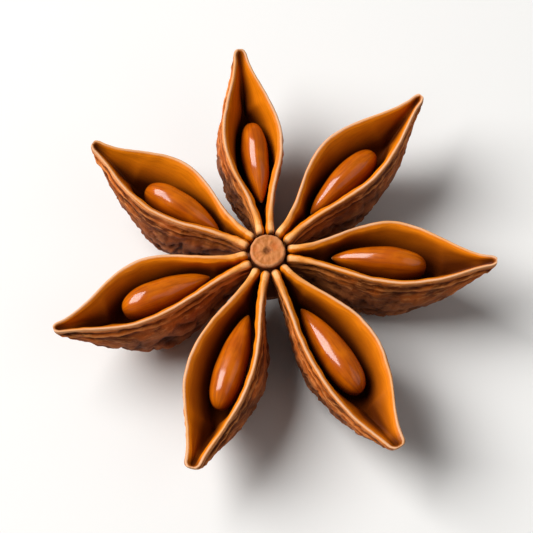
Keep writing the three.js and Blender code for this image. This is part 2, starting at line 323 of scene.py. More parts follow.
class Edge:
    """One rim of a carpel: where its faces start, and its cut edge between them. Near the lips
    it is a round finger, and further out a narrow bead with a bevel down into the hollow."""

    PEAK = 0.35  # the bead's top, as a share of the way in from the outer face

    def __init__(self, carpel, number, side, t, husk):
        settings = carpel["left"] if side > 0 else carpel["right"]
        x = t * carpel_length(carpel)
        row = number * 2 + side
        finger = smoothstep(4 - x, 0, 2)
        free = smoothstep(x, 0.8, 3.5) * smoothstep(1 - t, 0.0, 0.1)
        waver = husk.rim_waver / MM * free
        outer = half_width(carpel, settings, t)
        outer = outer + waver * (noise_at(x * 0.4, row, 0.3) + 0.4 * noise_at(x * 1.5, row, 8.1))
        thick = rim_thickness(t) * (1 + 0.25 * free * noise_at(x * 0.8, row, 5.7))
        # The two walls grow together towards the beak, and a lip ends in a knob.
        thick = lerp(thick, max(0.3, carpel["beak"] - 0.2), smoothstep(t, 0.75, 1))
        knob = hump(x, 0, 0.4) * (0.2 + 0.2 * noise_at(row * 1.7, 3.3, 0.5))
        uneven = 0.16 * finger * noise_at(x * 1.6, row, 2.9)
        thick = np.minimum(thick * (1 + knob + uneven), outer - LEAST_HALF_SLIT)
        tip = round_end(x + LIP_OVERHANG, husk.tip_length / MM, 0.55)
        middle = outer - thick / 2
        self.outer = middle + thick / 2 * tip
        self.inner = (middle - thick / 2 * tip) * lerp(0.1, 1, slot_share(carpel, t))
        self.beaded = smoothstep(x, 0.4, 2.2)
        self.scale = thick / LIP_THICKNESS
        self.sunk = (1 - tip) * husk.tip_length / MM * 1.3
        self.sunk = self.sunk - waver * 0.8 * noise_at(x * 0.45, row, 12.9)
        self.sunk = self.sunk - 0.08 * finger * noise_at(x * 1.3, row, 6.2)
        self.closed = 1 - slot_share(carpel, t)
        self.husk = husk

    def down(self, share):
        """How far the edge lies below the rim's height, at a share of the way in from the outer
        face."""
        finger = self.husk.finger_round / MM * (1 - np.sqrt(1 - np.abs(2 * share - 1) ** 2.2))
        outwards = np.clip((self.PEAK - share) / self.PEAK, 0, 1)
        inwards = np.clip((share - self.PEAK) / (1 - self.PEAK), 0, 1)
        bead = self.husk.bead_round / MM * (1 - np.sqrt(1 - outwards**2))
        bead = bead + self.husk.bevel_depth / MM * inwards**1.2 * (1 - 0.8 * self.closed)
        return lerp(finger, bead, self.beaded) * self.scale + self.sunk

    def across(self, share):
        return lerp(self.outer, self.inner, share)


def by_side(side, left, right):
    """The right value where side is -1, and the left one elsewhere."""
    return np.where(side >= 0, left, right)


def outer_face(carpel, t, left, right):
    """A section's outer face, from the left rim down to the keel and up to the right rim."""
    u = np.linspace(1, -1, OUTER_STEPS + 1)[None, :]
    side, turn = np.sign(u), np.abs(u) * np.pi / 2
    reach = by_side(side, left.across(0), right.across(0))
    top = by_side(side, left.down(0), right.down(0))
    swell = BELLY * np.sin(np.pi * t) * (t > 0)
    across = reach * np.sin(turn) ** SIDE_FULLNESS + swell * np.sin(2 * turn)
    return side * across, top + (keel_depth(carpel, t) - top) * np.cos(turn)


def inner_face(carpel, t, left, right):
    """A section's inner face, from the right rim down to the hollow's floor and up to the left
    rim. The mouth's shoulders slope down to a pocket that lies close round the seed."""
    u = np.linspace(-1, 1, INNER_STEPS + 1)[None, :]
    side, turn = np.sign(u), np.abs(u) * np.pi / 2
    # The steps crowd towards the rim, where the shoulder is.
    turn = turn + 0.22 * np.sin(2 * turn)
    reach = by_side(side, left.across(1), right.across(1))
    top = by_side(side, left.down(1), right.down(1))
    bottom = top + (hollow_depth(carpel, t) - top) * slot_share(carpel, t)
    down = (bottom - top) * np.cos(turn)
    pocket = by_side(side, pocket_half_width(carpel, 1, t), pocket_half_width(carpel, -1, t))
    limit = reach + UNDERCUT * np.sin(np.pi * np.clip(t, 0, 1))
    pocket = -soft_max(-pocket, -limit, POCKET_BLEND * 0.4) * np.ones_like(down)
    pocket = np.maximum(pocket, LEAST_HALF_SLIT / 2)
    deepest = -soft_max(-SHOULDER_DEPTH, 0.05 * top - 0.95 * bottom, 0.3)
    shoulder = np.clip(1 - down / deepest, 0, 1) ** SHOULDER_POWER
    across = pocket * np.sin(turn) ** POCKET_FULLNESS + (reach - pocket) * shoulder
    across = np.where(np.abs(u) == 1, reach, across)
    across = np.where(u == 0, 0, across)
    return side * across, top + down


def carpel_sections(carpel, number, husk):
    """Every section's points, as across and down, ring by ring: down the outer face from the left
    rim and up to the right one, over the edge, through the hollow and over the other edge."""
    t = stations(carpel)
    left, right = Edge(carpel, number, 1, t, husk), Edge(carpel, number, -1, t, husk)
    share = (1 - np.cos(np.linspace(0, np.pi, CROWN_STEPS + 1)[None, 1:-1])) / 2
    parts = [
        outer_face(carpel, t, left, right),
        (-right.across(share), right.down(share)),
        inner_face(carpel, t, left, right),
        (left.across(share[:, ::-1]), left.down(share[:, ::-1])),
    ]
    across, down = (np.concatenate([part[k] for part in parts], axis=1) for k in (0, 1))
    return t, across, down, (left, right)


def around_section(points):
    """How far each of a ring's points lies round it from the first, in millimetres."""
    step = np.linalg.norm(np.diff(points, axis=1), axis=2)
    return np.concatenate([np.zeros((len(points), 1)), np.cumsum(step, axis=1)], axis=1)


def grid_normals(points):
    """Outward normals of a grid of rings."""
    along = np.gradient(points, axis=0)
    around = np.roll(points, -1, axis=1) - np.roll(points, 1, axis=1)
    normal = np.cross(along, around)
    return normal / np.maximum(np.linalg.norm(normal, axis=-1, keepdims=True), 1e-9)


def skin_relief(x, around, below, number, husk):
    """How far the dried skin stands out, in millimetres, and how creased it is, from -1 on a ridge to
    1 in a crease. The skin's colour paints shade into the creases, and paints the ridges pale as
    wear and as a highlight. below is the distance from the rim, round the section."""
    own = number * 9.7
    bend = noise_at(x * 0.35, around * 0.3, own)
    low = smoothstep(below, 1.0, 3.6)
    streak = noise_at(x * 0.4, around * 1.7 + bend, own + 1.7)
    fold = noise_at(x * 0.5 + 0.9 * bend, around * 0.75 + 1.2 * bend, own + 3.1)
    cross = noise_at(x * 1.1 - bend, around * 0.5 + 0.8 * bend, own + 5.3)
    lump = noise_at(x * 0.3, around * 0.35, own + 7.9)
    pucker = noise_at(x * 1.6, around * 1.5, own + 9.1)
    grain = noise_at(x * 4.2, around * 4.8, own + 2.2)
    valley = ridges(fold, 0.22) * low
    pinch = ridges(cross, 0.16) * low
    # Under the rim a ridge runs along the flank, between two furrows.
    upper, middle, lower = 0.6, 0.95, 1.35
    wander = below + 0.25 * noise_at(x * 0.6, own, 0.8)
    furrow = hump(wander, upper, 0.16) * (0.8 + 0.5 * cross)
    furrow = furrow + 0.8 * hump(wander, lower, 0.2) * (0.7 + 0.8 * cross)
    ridge = hump(wander, middle, 0.18) * (0.7 + 0.6 * pucker)
    height = 0.35 * streak + low * 0.6 * lump + (0.3 + 0.3 * low) * pucker + 0.12 * grain
    height = height - 0.8 * valley - 0.5 * pinch - 0.65 * furrow + 0.3 * ridge
    crease = 0.9 * valley + 0.6 * pinch + 1.3 * furrow - 1.5 * ridge - 0.6 * streak
    return height * husk.wrinkle_height / MM, np.clip(crease, -1, 1)


def ring_faces(rows, columns):
    """Quads between rings that follow each other."""
    row, column = np.meshgrid(np.arange(rows - 1), np.arange(columns), indexing="ij")
    here, ahead = row * columns + column, row * columns + (column + 1) % columns
    return np.stack([here, here + columns, ahead + columns, ahead], axis=-1).reshape(-1, 4)


def end_faces(one, other):
    """Triangles between two rows of points that start and end side by side."""
    faces = []
    i = j = 0
    while i < len(one) - 1 or j < len(other) - 1:
        if j == len(other) - 1 or (i < len(one) - 1 and (i + 1) * len(other) <= (j + 1) * len(one)):
            faces.append((one[i], one[i + 1], other[j]))
            i += 1
        else:
            faces.append((one[i], other[j + 1], other[j]))
            j += 1
    return faces


def turned(points, degrees):
    turn = np.radians(degrees)
    spin = np.array([[np.cos(turn), -np.sin(turn), 0], [np.sin(turn), np.cos(turn), 0], [0, 0, 1]])
    return points @ spin.T


class Solid:
    """A mesh in the making: points in millimetres, faces with a slot and UVs each, and values."""

    def __init__(self, points, values):
        self.points = points
        self.values = values
        self.faces = []
        self.slots = []
        self.places = []

    def add(self, faces, slots, places):
        self.faces += [list(map(int, face)) for face in faces]
        self.slots += list(slots)
        self.places += [np.asarray(place).reshape(-1, 2) for place in places]

    def object(self, name, materials):
        mesh = bpy.data.meshes.new(name)
        mesh.from_pydata(self.points * MM, [], self.faces)
        for material in materials:
            mesh.materials.append(material)
        mesh.polygons.foreach_set("material_index", np.array(self.slots, dtype=np.int32))
        layer = mesh.uv_layers.new(name="OFBake")
        layer.data.foreach_set("uv", np.concatenate(self.places).ravel())
        for value_name, value in self.values.items():
            value = np.asarray(value, dtype=np.float32)
            kind = "FLOAT_VECTOR" if value.ndim == 2 else "FLOAT"
            attribute = mesh.attributes.new(value_name, kind, "POINT")
            attribute.data.foreach_set("vector" if value.ndim == 2 else "value", value.ravel())
        made = bpy.data.objects.new(name, mesh)
        bpy.context.scene.collection.objects.link(made)
        return made


def tile(number, places):
    """Moves places of a unit square into a piece's own share of the UV square."""
    gap = 0.008
    corner = np.array([number % 2 / 2 + gap, number // 2 / 4 + gap])
    return corner + places * np.array([0.5 - 2 * gap, 0.25 - 2 * gap])


def grid_places(rows, columns):
    """The corners of each quad of ring_faces on the unit square."""
    row, column = np.meshgrid(np.arange(rows - 1), np.arange(columns), indexing="ij")
    row, column = row.ravel(), column.ravel()
    rows_up, columns_on = np.array([0, 1, 1, 0]), np.array([0, 0, 1, 1])
    across = (column[:, None] + columns_on) / columns
    up = (row[:, None] + rows_up) / (rows - 1)
    return np.stack([across, up], axis=-1)


def tube(rows, columns):
    """The faces of a tube whose rings run anticlockwise round the way it goes, and their corners
    on the unit square. A fan closes each end, with its middle after the rings' points."""
    margin = 0.03
    faces = ring_faces(rows, columns).tolist()
    places = list(grid_places(rows, columns) * [1, 1 - 2 * margin] + [0, margin])
    first, second, last = rows * columns, rows * columns + 1, (rows - 1) * columns
    for i in range(columns):
        j = (i + 1) % columns
        here, ahead = i / columns, (i + 1) / columns
        faces += [(first, i, j), (second, last + j, last + i)]
        places += [
            [(here, 0), (here, margin), (ahead, margin)],
            [(here, 1), (ahead, 1 - margin), (here, 1 - margin)],
        ]
    # Turned round, they face out.
    return [face[::-1] for face in faces], [np.array(place)[::-1] for place in places]


def distance_from_rims(walked):
    """How far each point lies, round its section, from the top of the nearer rim."""
    peak = round(CROWN_STEPS * math.acos(1 - 2 * Edge.PEAK) / math.pi)
    from_right = np.abs(walked - walked[:, OUTER_STEPS + peak][:, None])
    from_left = np.abs(walked - walked[:, -peak][:, None])
    from_left = np.minimum(from_left, walked[:, -1:] - from_left)
    return np.minimum(from_right, from_left)


def grain_round_section():
    """Where a section's points lie round it, for the grain. It counts from the keel or the
    hollow's floor and not in millimetres, so that the streaks run along the carpel and close up
    towards its ends."""
    at_skin_rim, at_edge, at_lining_rim = 8, 5.6, 5
    skinned = np.linspace(at_skin_rim, -at_skin_rim, OUTER_STEPS + 1)
    crown = np.linspace(at_edge, at_lining_rim, CROWN_STEPS + 1)[1:-1]
    lined = np.linspace(-at_lining_rim, at_lining_rim, INNER_STEPS + 1)
    return np.concatenate([skinned, -crown, lined, crown[::-1]])[None, :]


def carpel_relief(number, t, x, walked, around, rim, husk):
    """How far each point stands out from its section, and how creased the skin is there, for the skin's
    painted shade in creases and pale ridges.
    """
    length = walked[:, OUTER_STEPS : OUTER_STEPS + 1]
    below = length / 2 - np.abs(length / 2 - walked[:, OUTER])
    smooth_rim = smoothstep(below, 0.0, 0.35)
    free = smooth_rim * smoothstep(x, 0.3, 2.0) * smoothstep(1 - t, 0.0, 0.06)
    found, creased = skin_relief(x, around[:, OUTER], below, number, husk)
    sway = noise_at(x * 0.35, around[:, HOLLOW], number * 5.1 + 0.4)
    relief = np.zeros_like(walked)
    crease = np.zeros_like(walked)
    relief[:, OUTER] = found * free
    relief[:, HOLLOW] = 0.06 * sway * smoothstep(rim[:, HOLLOW], 0.3, 1.0) * smoothstep(x, 1, 4)
    crease[:, OUTER] = creased * smooth_rim
    return relief, crease


def lining_shade(carpel, t, down, edges):
    """How deep in shade a point lies, from about 0 by the rim. It is shaded sooner in a narrow
    mouth, and more in the beak's end."""
    mouth = (edges[0].inner + edges[1].inner) / 2
    shade = carpel["shade_rate"] * down / (0.85 + 0.3 * mouth)
    shade = shade + carpel["shade_start"] * smoothstep(down, 0, 0.7)
    return shade + 1 - smoothstep((1 - t) * carpel_length(carpel), 0.2, 1.8)


def close_end(solid, number, row, columns, up):
    """Closes a carpel at one of its end sections, in a strip of the UV square at the height up."""
    strip = 0.03
    one = row * columns + np.arange(OUTER_STEPS + 1)
    other = row * columns + np.arange(columns - 1, OUTER_STEPS, -1)
    faces = end_faces(one, other)
    if row:
        faces = [face[::-1] for face in faces]
    share = {point: (k / (len(one) - 1), abs(up - strip)) for k, point in enumerate(one)}
    share |= {point: (k / (len(other) - 1), up) for k, point in enumerate(other)}
    places = np.array([[share[point] for point in face] for face in faces])
    solid.add(faces, [SKIN] * len(faces), tile(number, places))


def carpel_solid(number, husk):
    """One carpel, closed all round, with the values that its materials need."""
    carpel = CARPELS[number]
    t, across, down, edges = carpel_sections(carpel, number, husk)
    points = in_carpel(carpel, t, across, down)
    rows, columns = across.shape
    x = t * carpel_length(carpel)
    walked = around_section(points)
    rim = distance_from_rims(walked)
    around = grain_round_section()
    relief, crease = carpel_relief(number, t, x, walked, around, rim, husk)
    points = points + grid_normals(points) * relief[:, :, None]
    points = turned(points.reshape(-1, 3), carpel["bearing"]) + [0, 0, LIP_HEIGHT]
    # The keels are worn flat where they rest.
    points[:, 2] = np.maximum(points[:, 2], 0)

    # The beak's very end is rim all over.
    from_beak = (1 - t) * carpel_length(carpel) + 0.04 + 0.6 * np.maximum(down - 0.3, 0)
    from_lips, around, own = np.broadcast_arrays(x, around, number * 7.0)
    values = {
        "rim_distance": np.minimum(rim, from_beak).ravel(),
        # How much painted shade the lining gets.
        "deep": lining_shade(carpel, t, down, edges).ravel(),
        "crease": crease.ravel(),
        "from_lips": from_lips.ravel(),
        "grain": np.stack([from_lips, around, own], axis=-1).reshape(-1, 3),
    }
    solid = Solid(points, values)
    slots = np.full(columns, LINING)
    slots[:OUTER_STEPS] = SKIN
    margin = 0.04
    places = grid_places(rows, columns) * [1, 1 - 2 * margin] + [0, margin]
    solid.add(ring_faces(rows, columns), np.tile(slots, rows - 1), tile(number, places))
    close_end(solid, number, 0, columns, 0.0)
    close_end(solid, number, rows - 1, columns, 1.0)
    return solid


def column_outline():
    """The column's outline as radius and height, from the middle of the scar to the dimple."""
    return [
        (0, SCAR_HEIGHT + 0.3),
        (0.4, SCAR_HEIGHT + 0.22),
        (SCAR_RADIUS - 0.5, SCAR_HEIGHT + 0.12),
        (SCAR_RADIUS - 0.25, SCAR_HEIGHT),
        (SCAR_RADIUS, SCAR_HEIGHT + 0.15),
        (SCAR_RADIUS + 0.08, SCAR_HEIGHT + 0.5),
        (SCAR_RADIUS + 0.3, SCAR_HEIGHT + 0.95),
        (CORE_RADIUS * 0.72, SCAR_HEIGHT + 1.4),
        (CORE_RADIUS * 0.86, SCAR_HEIGHT + 2.0),
        (CORE_RADIUS, SCAR_HEIGHT + 2.7),
        (CORE_RADIUS * 0.96, SCAR_HEIGHT + 3.1),
        (CORE_RADIUS * 0.72, SCAR_HEIGHT + 3.5),
        (BUTTON_RADIUS + 0.4, GROOVE_FLOOR - 1.1),
        (BUTTON_RADIUS + 0.25, GROOVE_FLOOR),
        (BUTTON_RADIUS + 0.05, GROOVE_FLOOR),
        (BUTTON_RADIUS - 0.03, GROOVE_FLOOR + 0.3),
        (BUTTON_RADIUS, BUTTON_TOP - 0.3),
        (BUTTON_RADIUS - 0.03, BUTTON_TOP - 0.12),
        (BUTTON_RADIUS - 0.12, BUTTON_TOP - 0.02),
        (BUTTON_RADIUS - 0.22, BUTTON_TOP),
        (BUTTON_RADIUS - 0.4, BUTTON_TOP - 0.05),
        (BUTTON_RADIUS * 0.5, BUTTON_TOP - 0.03),
        (PIT_RADIUS, BUTTON_TOP - 0.05),
        (PIT_RADIUS * 0.75, BUTTON_TOP - PIT_DEPTH * 0.6),
        (PIT_RADIUS * 0.4, BUTTON_TOP - PIT_DEPTH),
        (0, BUTTON_TOP - PIT_DEPTH * 0.9),
    ]


def cut_short(outline, longest):
    """The same outline with its straight stretches cut up, so that relief can shape them."""
    profile = [outline[0]]
    for (r0, z0), (r1, z1) in zip(outline, outline[1:]):
        count = max(1, round(math.hypot(r1 - r0, z1 - z0) / longest))
        profile += [(lerp(r0, r1, k / count), lerp(z0, z1, k / count)) for k in range(1, count + 1)]
    return np.array(profile)


def column_solid(husk):
    """The column: a round button in a ring groove, the core under it and the stalk's scar."""
    profile = cut_short(column_outline(), COLUMN_STEP)
    rings = profile[1:-1]
    angle = np.linspace(0, 2 * np.pi, COLUMN_SIDES, endpoint=False)[None, :]
    radius, z = rings[:, :1], rings[:, 1:]
    x, y = radius * np.cos(angle), radius * np.sin(angle)
    rough = noise_at(x * 1.3, y * 1.3, z) + 0.7 * noise_at(x * 3.1, y * 3.1, z * 2)
    fibre = noise_at(np.cos(angle) * 3.4, np.sin(angle) * 3.4, radius * 0.5)
    button = smoothstep(z, GROOVE_FLOOR, GROOVE_FLOOR + 0.4)
    under = 1 - smoothstep(z, SCAR_HEIGHT + 2.4, SCAR_HEIGHT + 3.4)
    relief = husk.column_relief / MM
    edge = smoothstep(radius, 0.3, 0.9)
    wide = radius * (1 + 0.03 * edge * noise_at(np.cos(angle) * 1.3, np.sin(angle) * 1.3, 4.4))
    wide = wide + 0.4 * relief * rough * edge
    high = z + relief * (rough + 0.7 * fibre * edge) * (button + 2 * under)
    points = np.stack([wide * np.cos(angle), wide * np.sin(angle), high], axis=-1).reshape(-1, 3)
    points = np.concatenate([points, [[0, 0, profile[0, 1]], [0, 0, profile[-1, 1]]]])

    # The values of the two middles, the scar's and the dimple's, follow those of the rings.
    # How sunk each ring lies, which the groove's painted shade follows; -1 marks the underside for its
    # painted shade.
    sunk = button * (BUTTON_TOP - z) / GROOVE_DEPTH + (1 - button)
    sunk = np.where(z < SCAR_HEIGHT + 3, -1, sunk) + 0 * angle
    grain_level = 50
    grain = np.stack([x, y, grain_level + z + 0 * angle], axis=-1)
    ends = [[0, 0, grain_level], [0, 0, grain_level]]
    values = {
        "rim_distance": np.full(len(points), 5.0),
        "deep": np.concatenate([sunk.ravel(), [-1, 0]]),
        "crease": np.concatenate([np.clip(-rough, 0, 1).ravel(), [0, 1]]),
        "from_lips": np.concatenate([(radius + 0 * angle).ravel(), [0, 0]]),
        "grain": np.concatenate([grain.reshape(-1, 3), ends]),
    }
    solid = Solid(points, values)
    faces, places = tube(len(rings), COLUMN_SIDES)
    places = [tile(len(CARPELS), place) for place in places]
    solid.add(faces, [COLUMN] * len(faces), places)
    return solid


def unite(target, others):
    """Joins the others into the target as one closed solid, and removes them."""
    for other in others:
        join = target.modifiers.new("join", "BOOLEAN")
        join.operation = "UNION"
        join.solver = "MANIFOLD"
        join.object = other
    bpy.context.view_layer.update()
    seen = target.evaluated_get(bpy.context.evaluated_depsgraph_get())
    mesh = bpy.data.meshes.new_from_object(seen)
    target.modifiers.clear()
    target.data = mesh
    for other in others:
        bpy.data.objects.remove(other, do_unlink=True)


# ---- Shader maths ----


class Value:
    """A node's output. Arithmetic on it adds Math nodes."""

    def __init__(self, nodes, socket):
        self.nodes = nodes
        self.socket = socket

    def math(self, operation, first, second):
        return self.nodes.add("Math", {"operation": operation}, [first, second])

    def __add__(self, other):
        return self.math("ADD", self, other)

    def __radd__(self, other):
        return self.math("ADD", other, self)

    def __sub__(self, other):
        return self.math("SUBTRACT", self, other)

    def __rsub__(self, other):
        return self.math("SUBTRACT", other, self)

    def __mul__(self, other):
        return self.math("MULTIPLY", self, other)

    def __rmul__(self, other):
        return self.math("MULTIPLY", other, self)


class Nodes:
    """The nodes of one material."""

    def __init__(self, name):
        self.material = bpy.data.materials.new(name)
        self.material.use_nodes = True
        self.tree = self.material.node_tree
        self.tree.nodes.clear()

    def add(self, kind, settings=None, inputs=None, output=None):
        """Adds a node: its settings first, then its sockets' values or links, by name or order."""
        node = self.tree.nodes.new("ShaderNode" + kind)
        for name, setting in (settings or {}).items():
            setattr(node, name, setting)
        live = [socket for socket in node.inputs if socket.enabled]
        if isinstance(inputs, dict):
            named = [(next(s for s in live if s.name == name), v) for name, v in inputs.items()]
        else:
            named = zip(live, inputs or [])
        for socket, value in named:
            if isinstance(value, Value):
                self.tree.links.new(value.socket, socket)
            else:
                socket.default_value = value
        outputs = [socket for socket in node.outputs if socket.enabled]
        chosen = next((s for s in outputs if s.name == output), outputs[0] if outputs else None)
        return Value(self, chosen)

    def number(self, name):
        """A value that the mesh holds."""
        return self.add("Attribute", {"attribute_name": name}, output="Fac")

    def grain(self, along, around):
        """The mesh's own coordinates, along a carpel or seed and round it, with their scales."""
        place = self.add("Attribute", {"attribute_name": "grain"}, output="Vector")
        return self.add("Mapping", {}, {"Vector": place, "Scale": (along, around, 1)})

    def noise(self, place, detail=4, roughness=0.55, distortion=0.0):
        sizes = {"Scale": 1.0, "Detail": detail, "Roughness": roughness, "Distortion": distortion}
        return self.add("TexNoise", {}, {"Vector": place, **sizes})

    def blend(self, factor, a, b):
        """A colour that goes from a to b as the factor goes from 0 to 1."""
        a, b = (c if isinstance(c, Value) else (*c[:3], 1) for c in (a, b))
        settings = {"data_type": "RGBA", "clamp_factor": True}
        return self.add("Mix", settings, {"Factor": factor, "A": a, "B": b})

    def band(self, value, low, high):
        """0 below low and 1 above high, smoothly."""
        limits = {"Value": value, "From Min": low, "From Max": high}
        return self.add("MapRange", {"interpolation_type": "SMOOTHSTEP"}, limits)

    def bump(self, height, distance, strength=1.0):
        """Fine relief, with its height in metres."""
        return self.add("Bump", {}, {"Height": height, "Distance": distance, "Strength": strength})

    def finish(self, inputs):
        shader = self.add("BsdfPrincipled", {}, inputs)
        self.add("OutputMaterial", {}, {"Surface": shader})
        return self.material


# ---- Materials ----


def skin_material(husk):
    """The dried outer skin: dull red-brown in streaks and patches, with painted shade in its creases,
    low on the flanks and at the lips' ends, ridges painted pale as wear and as a highlight, and pale
    along the rim, where a wider band beside it is partly wear and partly painted light."""
    nodes = Nodes("Husk skin")
    crease = nodes.number("crease")
    rim = nodes.number("rim_distance")
    patches = nodes.noise(nodes.grain(0.3, 0.5), 5, 0.6, 0.5)
    streaks = nodes.noise(nodes.grain(0.9, 4.0), 5, 0.6, 0.3)
    mottle = nodes.noise(nodes.grain(2.2, 3.2), 6, 0.7, 0.4)
    grain = nodes.noise(nodes.grain(7.0, 14.0), 4, 0.6)
    lips = nodes.number("from_lips")
    colour = nodes.blend(1 - nodes.band(lips, 1.5, 6.0), husk.skin_colour, husk.skin_lips)
    colour = nodes.blend(nodes.band(patches, 0.42, 0.6) * 0.95, colour, husk.skin_dark)
    colour = nodes.blend(nodes.band(streaks, 0.5, 0.66) * 0.8, colour, husk.skin_worn_and_lit)
    colour = nodes.blend(nodes.band(mottle, 0.55, 0.75) * 0.6, colour, husk.skin_dark)
    # Painted shade: the skin darkens low on the flanks, away from the rim.
    low = nodes.band(rim + (patches - 0.5) * 2.5, 1.2, 3.6)
    colour = nodes.blend(low * 0.7, colour, husk.skin_low_shade)
    # Ridges are painted pale, partly as wear and partly as a highlight; creases get painted shade.
    colour = nodes.blend(crease * -0.7, colour, husk.skin_worn_and_lit)
    colour = nodes.blend(crease * 0.95, colour, husk.crease_shade_colour)
    tips = 1 - nodes.band(lips, 0.3, 2.0)
    pale = 1 - nodes.band(rim + (streaks - 0.5) * 0.25 - tips * 0.2, 0.12, 0.3)
    # A paler band beside the rim, partly wear and partly painted light where the skin turns down from
    # the bead.
    rim_worn_and_lit = 1 - nodes.band(rim + (mottle - 0.5) * 0.3, 0.15, 0.65)
    colour = nodes.blend(rim_worn_and_lit * 0.65, colour, husk.skin_worn_and_lit)
    edge = nodes.blend(tips, husk.rim_colour, husk.finger_colour)
    colour = nodes.blend(pale * 0.9, colour, edge)
    # Painted shade at the lips' ends, down by the groove round the button.
    colour = nodes.blend(0.9 - nodes.band(lips, -0.28, 0.3), colour, husk.groove_shade_colour)
    height = streaks * 0.6 + mottle * 0.4 + grain * 0.25
    return nodes.finish(
        {
            "Base Color": colour,
            "Roughness": 0.5 + grain * 0.25,
            "Specular IOR Level": 0.08,
            "Normal": nodes.bump(height, 0.00015, 1.0),
        }
    )


def lining_material(husk):
    """The smooth lining of the hollow, bright amber by the rim, with painted shade that darkens it down
    into the hollow and into the beak's end, and the pale bead along its edge. The lips' knobs get a
    painted highlight, and their ends painted shade by the groove."""
    nodes = Nodes("Husk lining")
    rim = nodes.number("rim_distance")
    deep = nodes.number("deep")
    lips = nodes.number("from_lips")
    cloud = nodes.noise(nodes.grain(0.25, 0.6), 3, 0.5)
    streaks = nodes.noise(nodes.grain(0.7, 5.0), 4, 0.55, 0.3)
    grain = nodes.noise(nodes.grain(6.0, 12.0), 4, 0.6)
    colour = nodes.blend(nodes.band(streaks, 0.35, 0.7) * 0.4, husk.lining_colour, husk.lining_streaks_and_shade)
    # Painted shade: the lining darkens from the rim down into the hollow and into the beak.
    colour = nodes.blend(nodes.band(deep, 0.2, 1.0) * 0.85, colour, husk.lining_streaks_and_shade)
    # Deeper painted shade low in the hollow.
    shade = nodes.band(deep + (cloud - 0.5) * 0.4, 0.6, 1.7)
    colour = nodes.blend(shade, colour, husk.lining_deep_shade)
    finger = 1 - nodes.band(lips + (streaks - 0.5) * 1.5, 0.8, 3.4)
    golden = nodes.blend(nodes.band(cloud, 0.45, 0.65) * 0.5, husk.rim_colour, husk.rim_golden)
    edge = nodes.blend(finger, golden, husk.finger_colour)
    edge = nodes.blend(nodes.band(streaks, 0.42, 0.6) * finger * 0.7, edge, husk.skin_lips)
    # Painted highlight on the round knobs at the lips' ends, over their own paler colour.
    knuckle_highlight = 1 - nodes.band(lips + (grain - 0.5) * 1.2, 0.3, 0.9)
    edge = nodes.blend(knuckle_highlight, edge, husk.tip_pale_and_highlight)
    # Painted shade at the lips' ends, down by the groove round the button.
    edge = nodes.blend(0.8 - nodes.band(lips, -0.28, 0.1), edge, husk.groove_shade_colour)
    pale = 1 - nodes.band(rim + (grain - 0.5) * 0.16 - finger * 0.15, 0.04, 0.2)
    colour = nodes.blend(pale, colour, edge)
    return nodes.finish(
        {
            "Base Color": colour,
            "Roughness": 0.36 + pale * (0.2 - finger * 0.24),
            "Specular IOR Level": 0.12,
            "Normal": nodes.bump(streaks * 0.5 + grain * 0.3, 0.00005, 0.6),
        }
    )


def column_material(husk):
    """The column's button: dull tan, with a dark dimple, painted shade in the groove round it and on
    the scar underneath.
    """
    nodes = Nodes("Husk column")
    radius = nodes.number("from_lips")
    deep = nodes.number("deep")
    crease = nodes.number("crease")
    cloud = nodes.noise(nodes.grain(1.6, 1.6), 4, 0.6, 0.4)
    fine = nodes.noise(nodes.grain(6.0, 6.0), 4, 0.65)
    colour = nodes.blend(nodes.band(cloud, 0.35, 0.65), husk.column_colour, husk.column_light)
    colour = nodes.blend(nodes.band(radius, 1.2, 1.42) * 0.25, colour, husk.rim_colour)
    colour = nodes.blend(crease * 0.8, colour, husk.skin_colour)
    pit = 1 - nodes.band(radius + (fine - 0.5) * 0.9 + (cloud - 0.5) * 0.7, 0.1, 0.6)
    colour = nodes.blend(pit * 0.8, colour, husk.pit_colour)
    # Painted shade in the groove round the button.
    colour = nodes.blend(nodes.band(deep, 0.12, 0.4), colour, husk.groove_shade_colour)
    # Painted shade under the column: the low skin's colour with dark patches.
    under = nodes.blend(nodes.band(fine, 0.35, 0.6), husk.skin_low_shade, husk.skin_dark)
    colour = nodes.blend(nodes.band(deep * -1, 0.3, 0.9), colour, under)
    return nodes.finish(
        {
            "Base Color": colour,
            "Roughness": 0.6,
            "Specular IOR Level": 0.3,
            "Normal": nodes.bump(cloud * 0.5 + fine * 0.5, 0.00008, 0.8),
        }
    )


def seed_material(seeds):
    """The seed coat: hard, smooth and glossy, streaked along its length, with painted shade on its
    lower flanks.
    """
    nodes = Nodes("Seed coat")
    flank = nodes.number("flank")
    end = nodes.number("end")
    cloud = nodes.noise(nodes.grain(0.5, 0.6), 3, 0.5, 0.3)
    streaks = nodes.noise(nodes.grain(0.35, 3.0), 4, 0.55, 0.2)
    colour = nodes.blend(nodes.band(cloud, 0.35, 0.7), seeds.coat_colour, seeds.coat_light)
    colour = nodes.blend(nodes.band(streaks, 0.42, 0.68) * 0.4, colour, seeds.coat_dark_and_shade)
    # Painted shade: darker from the seed's top down its flanks.
    colour = nodes.blend(nodes.band(flank, -0.95, 0.1) * 0.92, colour, seeds.coat_dark_and_shade)
    colour = nodes.blend(nodes.band(end, 0.95, 0.99), colour, seeds.scar_colour)
    return nodes.finish(
        {
            "Base Color": colour,
            "Roughness": 0.4,
            "Specular IOR Level": 0.05,
            "Coat Weight": 1.0,
            "Coat Roughness": 0.14,
            "Normal": nodes.bump(streaks, 0.00002, 0.4),
        }
    )


def floor_material(stage):
    nodes = Nodes("Floor")
    return nodes.finish({"Base Color": (*stage.floor_colour, 1), "Roughness": 0.85})


# ---- Pieces ----


